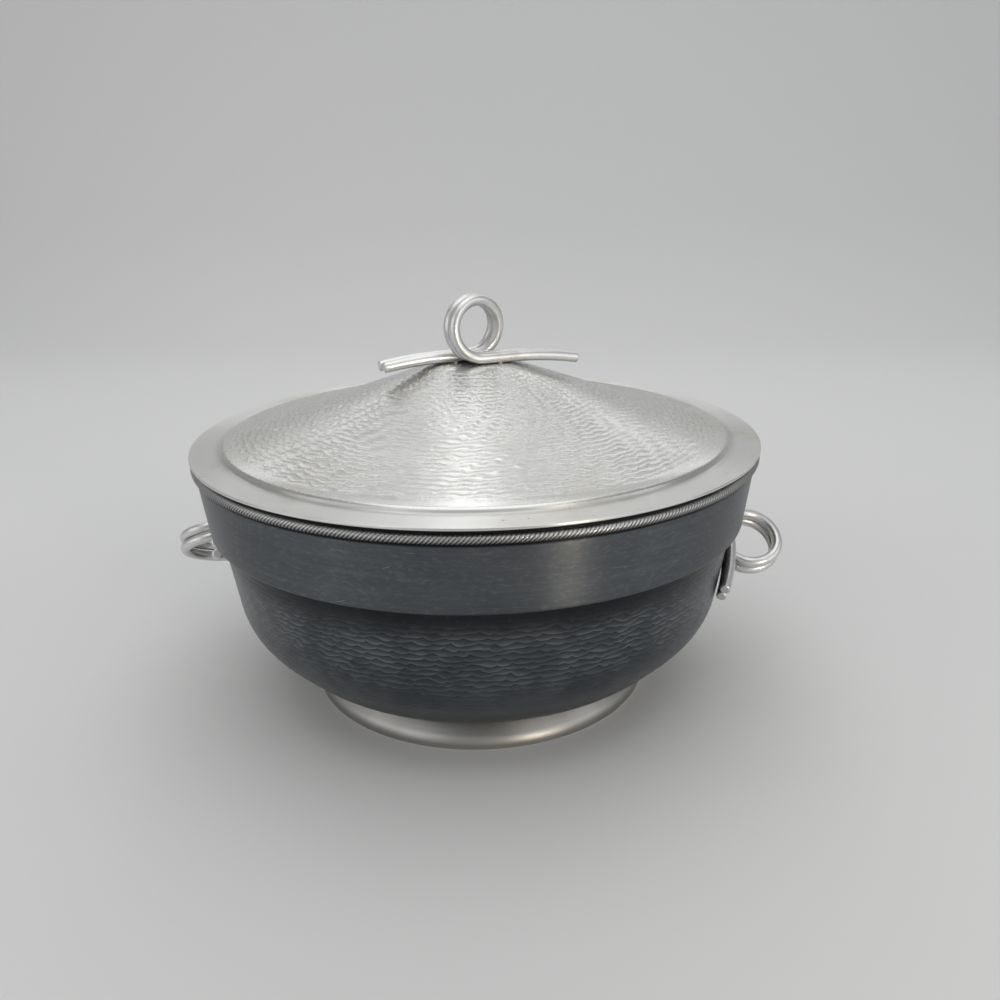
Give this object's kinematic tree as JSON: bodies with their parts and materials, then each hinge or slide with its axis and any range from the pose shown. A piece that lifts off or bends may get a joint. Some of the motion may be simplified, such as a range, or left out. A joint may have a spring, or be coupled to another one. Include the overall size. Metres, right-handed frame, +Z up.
{
  "type": "covered serving dish",
  "caption": "Round double-walled metal serving dish on a foot ring with a rope-bead rim, looped double-rod side handles and a lift-off conical lid with a matching loop finial.",
  "frame": {"origin": "on the bowl's axis at the table, under the middle of the foot ring", "axes": "+Z up along the bowl's axis, +X through the right handle, +Y away from the viewer"},
  "size_m": [0.29, 0.254, 0.1799],
  "materials": {
    "lid_metal": "hammered satin",
    "bowl_metal": "hammered below, brushed band, slightly dulled",
    "liner_metal": "plain satin",
    "bead_metal": "rope pattern",
    "rod_metal": "polished",
    "rivet_metal": "plain",
    "insulation": "fibre blanket"
  },
  "bodies": {
    "bowl": {"foot_ring": "bowl_metal", "outer_shell": "bowl_metal", "inner_liner": "liner_metal", "bowl_insulation": "insulation", "rim_bead": "bead_metal", "right_handle_upper_rod": "rod_metal", "right_handle_lower_rod": "rod_metal", "right_handle_rivets": "rivet_metal", "right_handle_washers": "rivet_metal", "left_handle_upper_rod": "rod_metal", "left_handle_lower_rod": "rod_metal", "left_handle_rivets": "rivet_metal", "left_handle_washers": "rivet_metal"},
    "lid": {"lid_shell": "lid_metal", "lid_liner": "liner_metal", "lid_insulation": "insulation", "finial_front_rod": "rod_metal", "finial_rear_rod": "rod_metal", "finial_rivets": "rivet_metal", "finial_washers": "rivet_metal"}
  },
  "joints": [
    {"name": "lid_lift", "type": "slide", "parent": "bowl", "child": "lid", "axis": [0, 0, 1], "range_m": [0, 0.12]}
  ]
}
